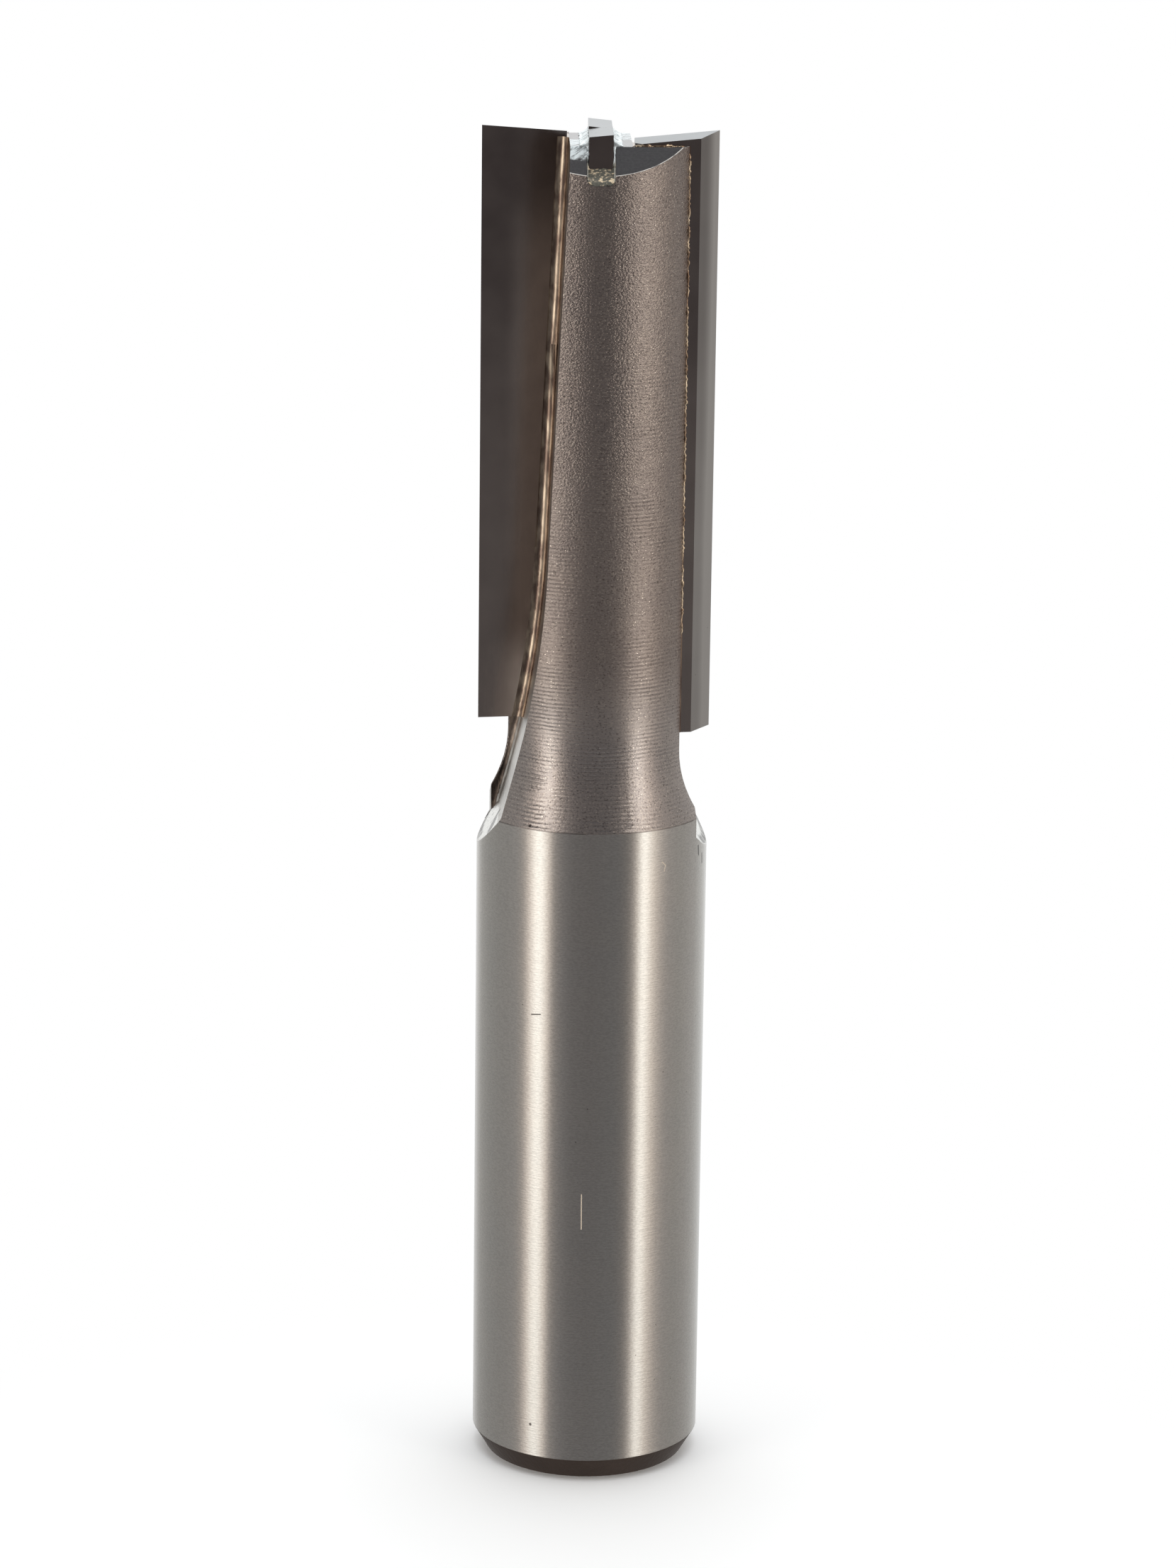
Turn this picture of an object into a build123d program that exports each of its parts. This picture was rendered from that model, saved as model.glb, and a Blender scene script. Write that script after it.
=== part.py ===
"""Straight plunge router bit with two brazed carbide cutters and a carbide plunge tip.

Frame: the origin is the centre of the shank's bottom face, +Z points to the cutting end, and the
two cutting edges lie on the +X and -X sides of the axis. The bit turns anticlockwise when it is
seen from the cutting end. Lengths are in millimetres and angles in degrees.
"""
import os
from math import asin, cos, radians, sin, tan

from build123d import *

# Shank and neck
SHANK_DIAMETER = 12.7
SHANK_LENGTH = 37.4            # bottom face to the end of the ground cylinder
SHANK_CHAMFER_HEIGHT = 1.25
SHANK_CHAMFER_WIDTH = 0.75
FLARE_HEIGHT = 3.8             # the neck narrows to the body's diameter over this height
BODY_DIAMETER = 10.6

# Cutters
CUTTING_DIAMETER = 12.7
CUTTER_BOTTOM = 42.15          # height of the lower end of the cutting edges
CUTTING_LENGTH = 32.5
HOOK_ANGLE = 15.0              # the rake face leans back from the radius by this much
SIDE_RELIEF = 26.0             # the side facet falls away from the cutting circle's tangent
DISH_ANGLE = 4.5               # the end edge drops towards the axis
END_RELIEF = 6.0
SEAT_DEPTH = 1.6               # rake face to gullet floor
BRAZE_FILM = 0.1               # filler under each cutter
BRAZE_GAP = 0.12               # filler between a cutter's inner edge and the gullet wall
BRAZE_FILLET = 0.55
CUTTER_EDGE_BREAK = 0.35       # clears the radius in the gullet's corner

# Gullets, milled by a side cutter that is fed down along the body and stops in the shank's shoulder
GULLET_DISC_RADIUS = 57.15
GULLET_FEED_ANGLE = 2.5        # the wall leans outwards, so the core thickens towards the neck
GULLET_WALL_LEAN = 9.0         # the wall overhangs the floor
GULLET_CORNER_RADIUS = 0.4
GULLET_STOP_HEIGHT = 51.6      # where the straight wall ends and the disc's run-out begins
GULLET_STOP_OFFSET = 2.14      # distance of the wall's foot from the axis plane at that height
GULLET_RAMP_HEIGHT = 37.15     # where the run-out arc gives way to a steeper ramp
GULLET_RAMP_ANGLE = 34.0       # the ramp leaves the shank at this angle to the axis
RAMP_RELIEF_REACH = 5.12       # beyond this distance the ramp is cut deeper than the floor
RAMP_RELIEF_DEPTH = 0.7
RAMP_RELIEF_TOP = 38.1
GULLET_OPEN_WIDTH = 14.0
GULLET_OPEN_DEPTH = 11.0

# End of the body and plunge tip
BODY_END = 74.0
END_BEVEL_ANGLE = 30.0
END_BEVEL_START = 3.03         # half the width of the flat between the two bevels
TIP_CLOCKING = 5.4             # the slot is turned this far past square to the cutting edges
SLOT_WIDTH = 1.53
SLOT_FLOOR = 72.2
SLOT_CORNER_RADIUS = 0.4
TIP_THICKNESS = 1.28
TIP_LENGTH = 7.7
TIP_TOP = 74.71
TIP_RELIEF = 5.6
TIP_FILLET_WIDTH = 0.85
TIP_FILLET_HEIGHT = 0.35
TIP_FILLET_HOLLOW = 0.33       # share of its width and height at the middle of the curve
TIP_POOL_HEIGHT = 72.95        # filler level against the ends of the plunge tip
TIP_POOL_RIM = 72.4            # filler level at the rim of the body

# Sizes worked out from those above
SHANK_RADIUS = SHANK_DIAMETER / 2
BODY_RADIUS = BODY_DIAMETER / 2
CUTTING_RADIUS = CUTTING_DIAMETER / 2
EDGE_TOP = CUTTER_BOTTOM + CUTTING_LENGTH
RAKE_OFFSET = CUTTING_RADIUS * sin(radians(HOOK_ANGLE))
EDGE_REACH = CUTTING_RADIUS * cos(radians(HOOK_ANGLE))
FLOOR_OFFSET = RAKE_OFFSET + SEAT_DEPTH
ABOVE_ALL = EDGE_TOP + 5

# Cutter frame: X runs out along the rake face and Y out of it. Tip frame: Y runs along the slot.
CUTTER_FRAME = Rot(0, 0, HOOK_ANGLE)
TIP_FRAME = Rot(0, 0, TIP_CLOCKING)
HALF_TURN = Rot(0, 0, 180)


def turned_blank():
    """Shank, flared neck and body as one turned profile."""
    neck_foot = (SHANK_RADIUS, SHANK_LENGTH)
    flare_rise = SHANK_RADIUS - BODY_RADIUS
    flare_radius = (FLARE_HEIGHT**2 + flare_rise**2) / (2 * flare_rise)
    flare_top = SHANK_LENGTH + FLARE_HEIGHT
    half_angle = asin(FLARE_HEIGHT / flare_radius) / 2
    flare_middle = (
        BODY_RADIUS + flare_radius * (1 - cos(half_angle)),
        flare_top - flare_radius * sin(half_angle),
    )
    with BuildPart() as blank:
        with BuildSketch(Plane.XZ):
            with BuildLine():
                Polyline(
                    neck_foot,
                    (SHANK_RADIUS, SHANK_CHAMFER_HEIGHT),
                    (SHANK_RADIUS - SHANK_CHAMFER_WIDTH, 0),
                    (0, 0),
                    (0, BODY_END),
                    (BODY_RADIUS, BODY_END),
                    (BODY_RADIUS, flare_top),
                )
                ThreePointArc((BODY_RADIUS, flare_top), flare_middle, neck_foot)
            make_face()
        revolve(axis=Axis.Z)
    return blank.part


def gullet_space(level=0.0, gap=0.0, depth=GULLET_OPEN_DEPTH, corner_radius=0.0, corner_break=0.0):
    """Space swept by the gullet's side cutter, from a level above the gullet floor.

    It is bounded by the straight wall, which is fed at a slight angle, the disc's run-out arc and
    the ramp that ends it. A gap moves the wall into the space, which gives the outline of what is
    brazed there. Sketch coordinates are height, then distance from the axis plane.
    """
    feed = radians(GULLET_FEED_ANGLE)
    centre_x = GULLET_STOP_OFFSET + GULLET_DISC_RADIUS * cos(feed)
    centre_z = GULLET_STOP_HEIGHT + GULLET_DISC_RADIUS * sin(feed)
    radius = GULLET_DISC_RADIUS - level * tan(radians(GULLET_WALL_LEAN)) - gap
    run_out = asin((centre_z - GULLET_RAMP_HEIGHT) / radius)
    wall_end, arc_middle, arc_end = [
        (centre_z - radius * sin(angle), centre_x - radius * cos(angle))
        for angle in (feed, (feed + run_out) / 2, run_out)
    ]
    wall_top = (ABOVE_ALL, wall_end[1] - (ABOVE_ALL - wall_end[0]) * tan(feed))
    ramp_drop = (GULLET_OPEN_WIDTH - arc_end[1]) / tan(radians(GULLET_RAMP_ANGLE))
    ramp_end = (arc_end[0] - ramp_drop, GULLET_OPEN_WIDTH)
    floor = Plane(origin=(0, level - FLOOR_OFFSET, 0), x_dir=(0, 0, 1), z_dir=(0, 1, 0))
    with BuildPart() as space:
        with BuildSketch(floor):
            with BuildLine():
                Polyline(wall_end, wall_top, (ABOVE_ALL, GULLET_OPEN_WIDTH), ramp_end, arc_end)
                ThreePointArc(arc_end, arc_middle, wall_end)
            make_face()
        extrude(amount=depth, taper=GULLET_WALL_LEAN)
        wall_foot = space.faces().sort_by(Axis.Y)[0].edges().sort_by(Axis.X)[:2]
        if corner_radius:
            fillet(wall_foot, radius=corner_radius)
        if corner_break:
            chamfer(wall_foot, length=corner_break)
    return space.part


def ramp_relief():
    """Corner of the shank's end that the ramp takes away behind the level of the gullet floor."""
    width = GULLET_OPEN_WIDTH - RAMP_RELIEF_REACH
    height = width / tan(radians(GULLET_RAMP_ANGLE))
    corner = gullet_space(level=-RAMP_RELIEF_DEPTH, depth=RAMP_RELIEF_DEPTH * 2)
    block = Box(width, SHANK_DIAMETER, height)
    centre = (RAMP_RELIEF_REACH + width / 2, -FLOOR_OFFSET, RAMP_RELIEF_TOP - height / 2)
    return corner & Pos(*centre) * block


def above_plane(origin, slope_x, slope_y):
    """Block that removes everything above a sloping plane through the given point."""
    cut_plane = Plane(origin=origin, x_dir=(1, 0, slope_x), z_dir=(-slope_x, -slope_y, 1))
    side = SHANK_DIAMETER * 4
    return extrude(cut_plane * Rectangle(side, side), amount=SHANK_DIAMETER)


def above_end_bevel():
    """What the grinding of one end bevel removes, in the tip frame."""
    return above_plane((0, -END_BEVEL_START, BODY_END), 0, tan(radians(END_BEVEL_ANGLE)))


def tip_slot():
    """Slot across the end of the body, in the tip frame, with rounded bottom corners."""
    slot_height = ABOVE_ALL - SLOT_FLOOR
    profile = Plane.XZ * Pos(0, SLOT_FLOOR + slot_height / 2) * Rectangle(SLOT_WIDTH, slot_height)
    profile = fillet(profile.vertices().group_by(Axis.Z)[0], radius=SLOT_CORNER_RADIUS)
    return extrude(profile, amount=BODY_DIAMETER, both=True)


def steel_body():
    """Turned blank with two gullets, two end bevels and the slot for the plunge tip."""
    gullet = CUTTER_FRAME * (gullet_space(corner_radius=GULLET_CORNER_RADIUS) + ramp_relief())
    bevel = TIP_FRAME * above_end_bevel()
    return (
        turned_blank()
        - gullet
        - HALF_TURN * gullet
        - bevel
        - HALF_TURN * bevel
        - TIP_FRAME * tip_slot()
    )


def cutter():
    """Carbide cutter on the +X side: its inner edge follows the gullet wall."""
    thickness = SEAT_DEPTH - BRAZE_FILM
    facet_slope = tan(radians(HOOK_ANGLE + SIDE_RELIEF))
    blank = gullet_space(
        level=BRAZE_FILM, gap=BRAZE_GAP, depth=thickness, corner_break=CUTTER_EDGE_BREAK
    )
    outline = Polygon(
        (-EDGE_REACH, -FLOOR_OFFSET),
        (EDGE_REACH - SEAT_DEPTH * facet_slope, -FLOOR_OFFSET),
        (EDGE_REACH, -RAKE_OFFSET),
        (-EDGE_REACH, -RAKE_OFFSET),
        align=None,
    )
    envelope = extrude(Pos(0, 0, CUTTER_BOTTOM) * outline, amount=ABOVE_ALL - CUTTER_BOTTOM)
    end_grind = above_plane(
        (EDGE_REACH, -RAKE_OFFSET, EDGE_TOP), tan(radians(DISH_ANGLE)), tan(radians(END_RELIEF))
    )
    return (blank & envelope) - end_grind


def cutter_braze():
    """Filler around the cutter on the +X side: film, inner gap and concave fillet."""
    joint = gullet_space(depth=SEAT_DEPTH + BRAZE_FILLET, corner_radius=GULLET_CORNER_RADIUS)
    joint -= gullet_space(level=SEAT_DEPTH, corner_radius=BRAZE_FILLET)
    height = BODY_END - CUTTER_BOTTOM
    joint &= Pos(0, 0, CUTTER_BOTTOM + height / 2) * Cylinder(BODY_RADIUS, height)
    return joint - cutter()


def plunge_tip():
    """Carbide bar in the slot, in the tip frame, ground so that each half cuts on its leading side."""
    foot = SLOT_FLOOR + BRAZE_FILM
    height = TIP_TOP - foot
    half = Pos(0, -TIP_LENGTH / 4, foot + height / 2) * Box(TIP_THICKNESS, TIP_LENGTH / 2, height)
    half -= above_plane((TIP_THICKNESS / 2, 0, TIP_TOP), tan(radians(TIP_RELIEF)), 0)
    bar = half + HALF_TURN * half
    foot_edges = bar.edges().filter_by(Axis.Y).group_by(Axis.Z)[0]
    return chamfer(foot_edges, length=CUTTER_EDGE_BREAK)


def side_fillet():
    """Concave fillet of filler from the plunge tip's +X side down to the end of the body."""
    inner = TIP_THICKNESS / 2 - BRAZE_FILM
    outer = TIP_THICKNESS / 2 + TIP_FILLET_WIDTH
    low = BODY_END - BRAZE_FILM
    high = BODY_END + TIP_FILLET_HEIGHT
    hollow = (
        TIP_THICKNESS / 2 + TIP_FILLET_WIDTH * TIP_FILLET_HOLLOW,
        BODY_END + TIP_FILLET_HEIGHT * TIP_FILLET_HOLLOW,
    )
    with BuildPart() as strip:
        with BuildSketch(Plane.XZ):
            with BuildLine():
                Polyline((outer, BODY_END), (outer, low), (inner, low), (inner, high))
                Line((inner, high), (TIP_THICKNESS / 2, high))
                ThreePointArc((TIP_THICKNESS / 2, high), hollow, (outer, BODY_END))
            make_face()
        extrude(amount=END_BEVEL_START, both=True)
    return strip.part


def tip_braze():
    """Filler in the slot: under and beside the plunge tip, and pooled at both of its ends."""
    rim_slope = (TIP_POOL_HEIGHT - TIP_POOL_RIM) / (BODY_RADIUS - TIP_LENGTH / 2)
    above_pool = above_plane((0, -TIP_LENGTH / 2, TIP_POOL_HEIGHT), 0, rim_slope)
    above_pool &= Pos(0, -TIP_LENGTH, BODY_END) * Box(SLOT_WIDTH * 2, TIP_LENGTH, SHANK_DIAMETER)
    waste = above_end_bevel() + above_pool
    filler = tip_slot() & Pos(0, 0, BODY_END / 2) * Cylinder(BODY_RADIUS, BODY_END)
    return filler - waste - HALF_TURN * waste


def braze_around_tip(body, cutters):
    """Tip filler in the bit's frame, trimmed by the steel and the carbide that it joins."""
    filler = TIP_FRAME * (tip_braze() + side_fillet() + HALF_TURN * side_fillet())
    core = Pos(0, 0, BODY_END) * Cylinder(BODY_RADIUS, TIP_LENGTH)
    gullet = CUTTER_FRAME * gullet_space()
    core = core - gullet - HALF_TURN * gullet
    return (filler & core) - body - TIP_FRAME * plunge_tip() - cutters


def build_nodes():
    body = steel_body()
    first_cutter = CUTTER_FRAME * cutter()
    second_cutter = HALF_TURN * first_cutter
    first_braze = (CUTTER_FRAME * cutter_braze()) - body
    return {
        "steel_body": body,
        "first_cutter": first_cutter,
        "second_cutter": second_cutter,
        "first_cutter_braze": first_braze,
        "second_cutter_braze": HALF_TURN * first_braze,
        "plunge_tip": TIP_FRAME * plunge_tip(),
        "plunge_tip_braze": braze_around_tip(body, first_cutter + second_cutter),
    }


os.makedirs("parts", exist_ok=True)
for node_name, solid in build_nodes().items():
    export_step(solid, f"parts/{node_name}.step")
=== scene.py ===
# %% [markdown]
# # A straight router bit with brazed carbide cutters
#
# A router bit of this kind is a round steel bar. One half is ground to fit the router's collet, and
# the other half is turned down, blasted matt and milled with two gullets. A carbide cutter is
# brazed into each gullet, and a small carbide bar across the end lets the bit plunge.
#
# The solid shapes come ready made, in metres, with the shank standing on the floor at the origin.
# This lesson gives them their finishes, adds the rough filler metal that brazing leaves behind, and
# sets up the studio.

import random
from math import atan2, cos, degrees, pi, radians, sin

import bmesh
import bpy
from mathutils import Matrix, Vector
from mathutils import noise as mathutils_noise


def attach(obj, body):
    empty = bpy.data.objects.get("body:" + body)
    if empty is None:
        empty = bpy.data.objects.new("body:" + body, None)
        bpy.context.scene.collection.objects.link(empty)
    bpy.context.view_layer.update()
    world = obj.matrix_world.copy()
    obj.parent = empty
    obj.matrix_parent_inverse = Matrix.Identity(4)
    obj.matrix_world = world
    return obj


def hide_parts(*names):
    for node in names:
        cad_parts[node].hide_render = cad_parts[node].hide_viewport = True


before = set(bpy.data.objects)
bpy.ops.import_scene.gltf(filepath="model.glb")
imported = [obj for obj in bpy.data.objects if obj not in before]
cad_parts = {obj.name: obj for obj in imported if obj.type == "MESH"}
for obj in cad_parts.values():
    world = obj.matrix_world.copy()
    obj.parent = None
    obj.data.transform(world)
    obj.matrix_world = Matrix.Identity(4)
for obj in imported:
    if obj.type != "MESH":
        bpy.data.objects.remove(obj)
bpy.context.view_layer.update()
MM = 0.001
print("solids:", sorted(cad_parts))

# %% [markdown]
# ## Camera
#
# A long lens far away keeps the bit's sides nearly parallel. It could be aimed with a Track To
# constraint, but a camera that also leans a little sideways is easier to build from its own three
# axes: right, up and backwards.

# %% Camera
CAMERA_PLACE = Vector((20.77, -255.46, 104.84)) * MM
CAMERA_TURN = radians(4.701)
CAMERA_PITCH = radians(14.497)
CAMERA_ROLL = radians(0.725)
LENS_LENGTH = 110.36
SENSOR_HEIGHT = 36.0

across_floor = Vector((-sin(CAMERA_TURN), cos(CAMERA_TURN), 0))
forward = across_floor * cos(CAMERA_PITCH) - Vector((0, 0, sin(CAMERA_PITCH)))
level_right = Vector((cos(CAMERA_TURN), sin(CAMERA_TURN), 0))
level_up = level_right.cross(forward)
right = level_right * cos(CAMERA_ROLL) + level_up * sin(CAMERA_ROLL)
up = right.cross(forward)
facing = Matrix((right, up, -forward)).transposed().to_4x4()

lens = bpy.data.cameras.new("long_lens")
lens.sensor_fit = "VERTICAL"
lens.sensor_height = SENSOR_HEIGHT
lens.lens = LENS_LENGTH
camera = bpy.data.objects.new("camera", lens)
bpy.context.scene.collection.objects.link(camera)
camera.matrix_world = Matrix.Translation(CAMERA_PLACE) @ facing
bpy.context.scene.camera = camera
bpy.context.scene.view_settings.view_transform = "Standard"
print("camera turned by", round(degrees(CAMERA_TURN), 2), "degrees")

# %% [markdown]
# ## Helpers for node trees
#
# Every finish here is a tree of nodes. Wiring nodes one by one takes three lines each, so a small
# helper makes a node, sets what it is told and links any input that is given a socket.

# %% Node helpers
def srgb(red, green, blue):
    """A display colour of 0 to 255 as the linear colour that shaders work in."""
    shares = (red / 255, green / 255, blue / 255)
    linear = [c / 12.92 if c <= 0.04045 else ((c + 0.055) / 1.055) ** 2.4 for c in shares]
    return (*linear, 1.0)


def plug(tree, socket, value):
    if isinstance(value, bpy.types.NodeSocket):
        tree.links.new(value, socket)
    else:
        socket.default_value = value


def add(tree, kind, inputs=None, **settings):
    made = tree.nodes.new(kind)
    for key, value in settings.items():
        setattr(made, key, value)
    for key, value in (inputs or {}).items():
        plug(tree, made.inputs[key], value)
    return made


def calc(tree, operation, *values, clamp=False):
    made = add(tree, "ShaderNodeMath", operation=operation, use_clamp=clamp)
    for socket, value in zip(made.inputs, values):
        plug(tree, socket, value)
    return made.outputs[0]


def both(tree, *masks):
    """Masks multiplied together, so the result is 1 only where all of them are."""
    made = masks[0]
    for mask in masks[1:]:
        made = calc(tree, "MULTIPLY", made, mask)
    return made


def vector_calc(tree, operation, first, second=None, scale=None):
    """Arithmetic on two vectors. A length, a distance and a dot product come out as a number."""
    given = {0: first, 1: second, "Scale": scale}
    inputs = {key: value for key, value in given.items() if value is not None}
    made = add(tree, "ShaderNodeVectorMath", inputs, operation=operation)
    return made.outputs["Value" if operation in ("LENGTH", "DISTANCE", "DOT_PRODUCT") else "Vector"]


def axes(tree, vector):
    return add(tree, "ShaderNodeSeparateXYZ", {"Vector": vector}).outputs


def turn_about_z(tree, vector, angle):
    inputs = {"Vector": vector, "Angle": angle}
    return add(tree, "ShaderNodeVectorRotate", inputs, rotation_type="Z_AXIS").outputs[0]


def step(tree, value, low, high, first=0.0, last=1.0):
    """A smooth change from first to last while value goes from low to high."""
    inputs = {"Value": value, "From Min": low, "From Max": high, "To Min": first, "To Max": last}
    return add(tree, "ShaderNodeMapRange", inputs, interpolation_type="SMOOTHSTEP").outputs["Result"]


def blend(tree, factor, first, second):
    """Between two colours or two numbers."""
    def is_colour(value):
        value = getattr(value, "default_value", value)
        return not isinstance(value, (int, float)) and len(value) == 4

    colours = is_colour(first) or is_colour(second)
    made = add(tree, "ShaderNodeMix", data_type="RGBA" if colours else "FLOAT")
    a, b, out = (6, 7, 2) if colours else (2, 3, 0)
    plug(tree, made.inputs[0], factor)
    plug(tree, made.inputs[a], first)
    plug(tree, made.inputs[b], second)
    return made.outputs[out]


def noise(tree, place, scale, detail=2.0, roughness=0.5, stretch=(1, 1, 1)):
    """Noise of about 0 to 1 around a place in millimetres, with scale in features per millimetre."""
    mapped = add(tree, "ShaderNodeMapping", {"Vector": place, "Scale": stretch}).outputs[0]
    inputs = {"Vector": mapped, "Scale": scale, "Detail": detail, "Roughness": roughness}
    return add(tree, "ShaderNodeTexNoise", inputs).outputs[0]


# %% [markdown]
# ## The studio
#
# Polished metal has no colour of its own to speak of: it shows what stands around it. So the room
# is painted first. Around the bit there is a white table at the back, grey sides, a dark space
# where the camera stands, and two tall warm lamps to the left and right. Lamps and cards could
# be modelled, but a round steel bar only asks what stands in which direction, so a ring of colours
# in the world does the same with less noise. The camera itself sees plain white.

# %% World
CAMERA_AZIMUTH = atan2(CAMERA_PLACE.y, CAMERA_PLACE.x)
# Direction from the camera's side in degrees, to the right positive, then the colour there.
AROUND = [
    (-180, (1.0, 1.0, 1.0)),
    (-158, (0.80, 0.80, 0.79)),
    (-141, (0.52, 0.52, 0.50)),
    (-118, (0.41, 0.41, 0.395)),
    (-95, (0.37, 0.365, 0.35)),
    (-79, (0.40, 0.39, 0.375)),
    (-70, (0.52, 0.48, 0.44)),
    (-62, (1.30, 1.17, 1.05)),
    (-57, (1.95, 1.90, 1.76)),
    (-50, (2.00, 1.97, 1.84)),
    (-45, (1.40, 1.26, 1.12)),
    (-38, (0.40, 0.37, 0.345)),
    (-28, (0.255, 0.245, 0.24)),
    (-18, (0.195, 0.187, 0.183)),
    (0, (0.175, 0.167, 0.164)),
    (27, (0.188, 0.185, 0.183)),
    (36, (0.225, 0.213, 0.203)),
    (43, (0.40, 0.365, 0.335)),
    (48, (0.95, 0.87, 0.78)),
    (52, (1.95, 1.90, 1.76)),
    (57, (1.95, 1.90, 1.76)),
    (63, (1.25, 1.13, 1.00)),
    (73, (0.68, 0.62, 0.56)),
    (84, (0.46, 0.435, 0.41)),
    (100, (0.43, 0.42, 0.395)),
    (118, (0.49, 0.48, 0.46)),
    (134, (0.60, 0.60, 0.58)),
    (158, (0.82, 0.83, 0.82)),
    (180, (1.0, 1.0, 1.0)),
]
# Height of the direction, as the z of a unit arrow, then how bright the ring is there.
UP_AND_DOWN = [
    (-1.0, 0.30), (-0.60, 0.36), (-0.45, 0.55), (-0.36, 0.80),
    (-0.28, 1.0), (-0.16, 1.12), (0.0, 1.16), (1.0, 1.1),
]
BRIGHTEST = 2.0      # a colour ramp holds 0 to 1, so it is given shares of this
TABLE_GLOW = 0.28    # what the pale table adds to directions that look down
CEILING = (0.17, 0.17, 0.175, 1.0)
CEILING_START, CEILING_FULL = sin(radians(48)), sin(radians(62))

world = bpy.data.worlds.new("studio")
world.use_nodes = True
bpy.context.scene.world = world
room = world.node_tree
room.nodes.clear()
direction = add(room, "ShaderNodeTexCoord").outputs["Generated"]


def ramp(tree, share, stops):
    """A colour ramp with stops of position and colour."""
    made = add(tree, "ShaderNodeValToRGB", {"Fac": share})
    while len(made.color_ramp.elements) < len(stops):
        made.color_ramp.elements.new(0.5)
    for element, (position, colour) in zip(made.color_ramp.elements, stops):
        element.position = position
        element.color = (*(c / BRIGHTEST for c in colour), 1.0)
    return made.outputs[0]


arrow = axes(room, turn_about_z(room, direction, -CAMERA_AZIMUTH))
azimuth = calc(room, "ARCTAN2", arrow["Y"], arrow["X"])
around = calc(room, "MULTIPLY_ADD", azimuth, 0.5 / pi, 0.5)
ring = ramp(room, around, [(angle / 360 + 0.5, colour) for angle, colour in AROUND])
upward = calc(room, "MULTIPLY_ADD", arrow["Z"], 0.5, 0.5)
levels = ramp(room, upward, [(z / 2 + 0.5, (level,) * 3) for z, level in UP_AND_DOWN])
level = calc(room, "MULTIPLY", levels, BRIGHTEST)
ring_level = calc(room, "MULTIPLY", level, BRIGHTEST)
ring_bright = vector_calc(room, "SCALE", ring, scale=ring_level)
spill = calc(room, "MULTIPLY", calc(room, "SUBTRACT", 1.0, level, clamp=True), TABLE_GLOW)
ring_bright = vector_calc(room, "ADD", ring_bright, spill)
overhead = step(room, arrow["Z"], CEILING_START, CEILING_FULL)
surroundings = blend(room, overhead, ring_bright, CEILING)
plain = add(room, "ShaderNodeLightPath").outputs["Is Camera Ray"]
seen = blend(room, plain, surroundings, (1.0, 1.0, 1.0, 1.0))
backdrop = add(room, "ShaderNodeBackground", {"Color": seen, "Strength": 1.0})
add(room, "ShaderNodeOutputWorld", {"Surface": backdrop.outputs[0]})
print("directions painted:", len(AROUND))

# %% [markdown]
# ## Floor and lamp
#
# The floor is a white sheet. One large soft lamp overhead lights it, so the bit leaves a soft
# shadow at its foot. The lamp is hidden from reflections, since the ring of colours already says
# what the metal shows. Away from the bit the sheet fades into the white background.

# %% Floor
FLOOR_RADIUS = 0.6
FLOOR_WHITE = srgb(247, 249, 251)
FADE_MIDDLE = (0.0, -0.022, 0.0)
FADE_START, FADE_END = 0.014, 0.045

sheet = bmesh.new()
bmesh.ops.create_circle(sheet, cap_ends=True, radius=FLOOR_RADIUS, segments=96)
floor_mesh = bpy.data.meshes.new("floor")
sheet.to_mesh(floor_mesh)
sheet.free()
floor = bpy.data.objects.new("floor", floor_mesh)
bpy.context.scene.collection.objects.link(floor)
floor.visible_glossy = False
floor.visible_shadow = False

paper = bpy.data.materials.new("white_sheet")
paper.use_nodes = True
tree = paper.node_tree
tree.nodes.clear()
where = add(tree, "ShaderNodeTexCoord").outputs["Object"]
away = vector_calc(tree, "DISTANCE", where, FADE_MIDDLE)
fade = step(tree, away, FADE_START, FADE_END)
lit = add(tree, "ShaderNodeBsdfDiffuse", {"Color": FLOOR_WHITE})
white = add(tree, "ShaderNodeEmission", {"Color": (1.0, 1.0, 1.0, 1.0)})
mixed = add(tree, "ShaderNodeMixShader", {0: fade, 1: lit.outputs[0], 2: white.outputs[0]})
add(tree, "ShaderNodeOutputMaterial", {"Surface": mixed.outputs[0]})
floor_mesh.materials.append(paper)

# %% Overhead lamp
LAMP_PLACE = Vector((0.0, 0.05, 0.5))
LAMP_SIZE = 0.6
LAMP_POWER = 2.3

softbox = bpy.data.lights.new("softbox", "AREA")
softbox.shape = "DISK"
softbox.size = LAMP_SIZE
softbox.energy = LAMP_POWER
lamp = bpy.data.objects.new("softbox", softbox)
bpy.context.scene.collection.objects.link(lamp)
lamp.location = LAMP_PLACE
lamp.rotation_euler = (-LAMP_PLACE).to_track_quat("-Z", "Y").to_euler()
lamp.visible_glossy = False

# %% [markdown]
# ## Shared effects
#
# Grinding marks, dark specks and scratches turn up on more than one part, and blasted grain suits
# many other parts too. So each is a node group with named inputs and outputs, placed in a material
# with its own values.

# %% Node group helper
def effect(name, inputs, outputs):
    """A new node group, its tree, its input node and a function that plugs its outputs."""
    group = bpy.data.node_groups.new(name, "ShaderNodeTree")
    for label, kind, value in inputs:
        socket = group.interface.new_socket(label, in_out="INPUT", socket_type=kind)
        if value is not None:
            socket.default_value = value
    for label, kind in outputs:
        group.interface.new_socket(label, in_out="OUTPUT", socket_type=kind)
    entry = group.nodes.new("NodeGroupInput")
    leave = group.nodes.new("NodeGroupOutput")
    return group, entry.outputs, leave.inputs


def use(tree, group, **inputs):
    placed = tree.nodes.new("ShaderNodeGroup")
    placed.node_tree = group
    for label, value in inputs.items():
        plug(tree, placed.inputs[label], value)
    return placed.outputs


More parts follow.
